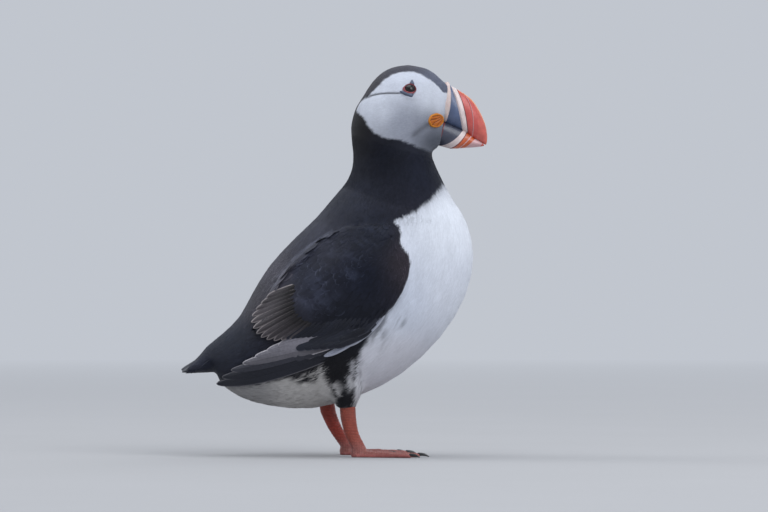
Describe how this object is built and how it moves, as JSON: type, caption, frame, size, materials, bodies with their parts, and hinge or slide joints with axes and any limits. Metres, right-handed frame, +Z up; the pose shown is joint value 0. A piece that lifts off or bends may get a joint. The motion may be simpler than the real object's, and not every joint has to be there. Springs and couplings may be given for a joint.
{
  "type": "atlantic puffin",
  "caption": "Life-size still model of a standing Atlantic puffin with folded wings, tall banded bill, short tail and flat webbed feet",
  "frame": {"origin": "bottom centre of the bounding box, on the floor between the feet", "axes": "+Z up, the bird faces -Y, its right side is -X"},
  "size_m": [0.1052, 0.1898, 0.2428],
  "materials": {
    "black_feathers": "soft satin plumage",
    "white_feathers": "soft matt plumage",
    "brown_feathers": "worn matt plumage",
    "bill_horn": "satin horn, grooved",
    "bill_strip": "pitted fleshy strip",
    "gape_skin": "wrinkled skin",
    "eye": "wet gloss",
    "eye_ring": "matt skin",
    "eye_plate": "matt horn",
    "leg_skin": "scaled skin",
    "claw": "satin horn"
  },
  "bodies": {
    "root": {"bill_lower": "bill_horn", "bill_strip": "bill_strip", "bill_upper": "bill_horn", "claw_inner_left": "claw", "claw_inner_right": "claw", "claw_middle_left": "claw", "claw_middle_right": "claw", "claw_outer_left": "claw", "claw_outer_right": "claw", "eye_left": "eye", "eye_plate_lower_left": "eye_plate", "eye_plate_lower_right": "eye_plate", "eye_plate_upper_left": "eye_plate", "eye_plate_upper_right": "eye_plate", "eye_right": "eye", "eye_ring_left": "eye_ring", "eye_ring_right": "eye_ring", "foot_left": "leg_skin", "foot_right": "leg_skin", "head": "white_feathers", "leg_left": "leg_skin", "leg_right": "leg_skin", "neck": "black_feathers", "primaries_left": "brown_feathers", "primaries_right": "brown_feathers", "rosette_left": "gape_skin", "rosette_right": "gape_skin", "tail": "black_feathers", "thigh_left": "white_feathers", "thigh_right": "white_feathers", "trunk": "white_feathers", "wing_left": "black_feathers", "wing_right": "black_feathers"}
  },
  "joints": []
}
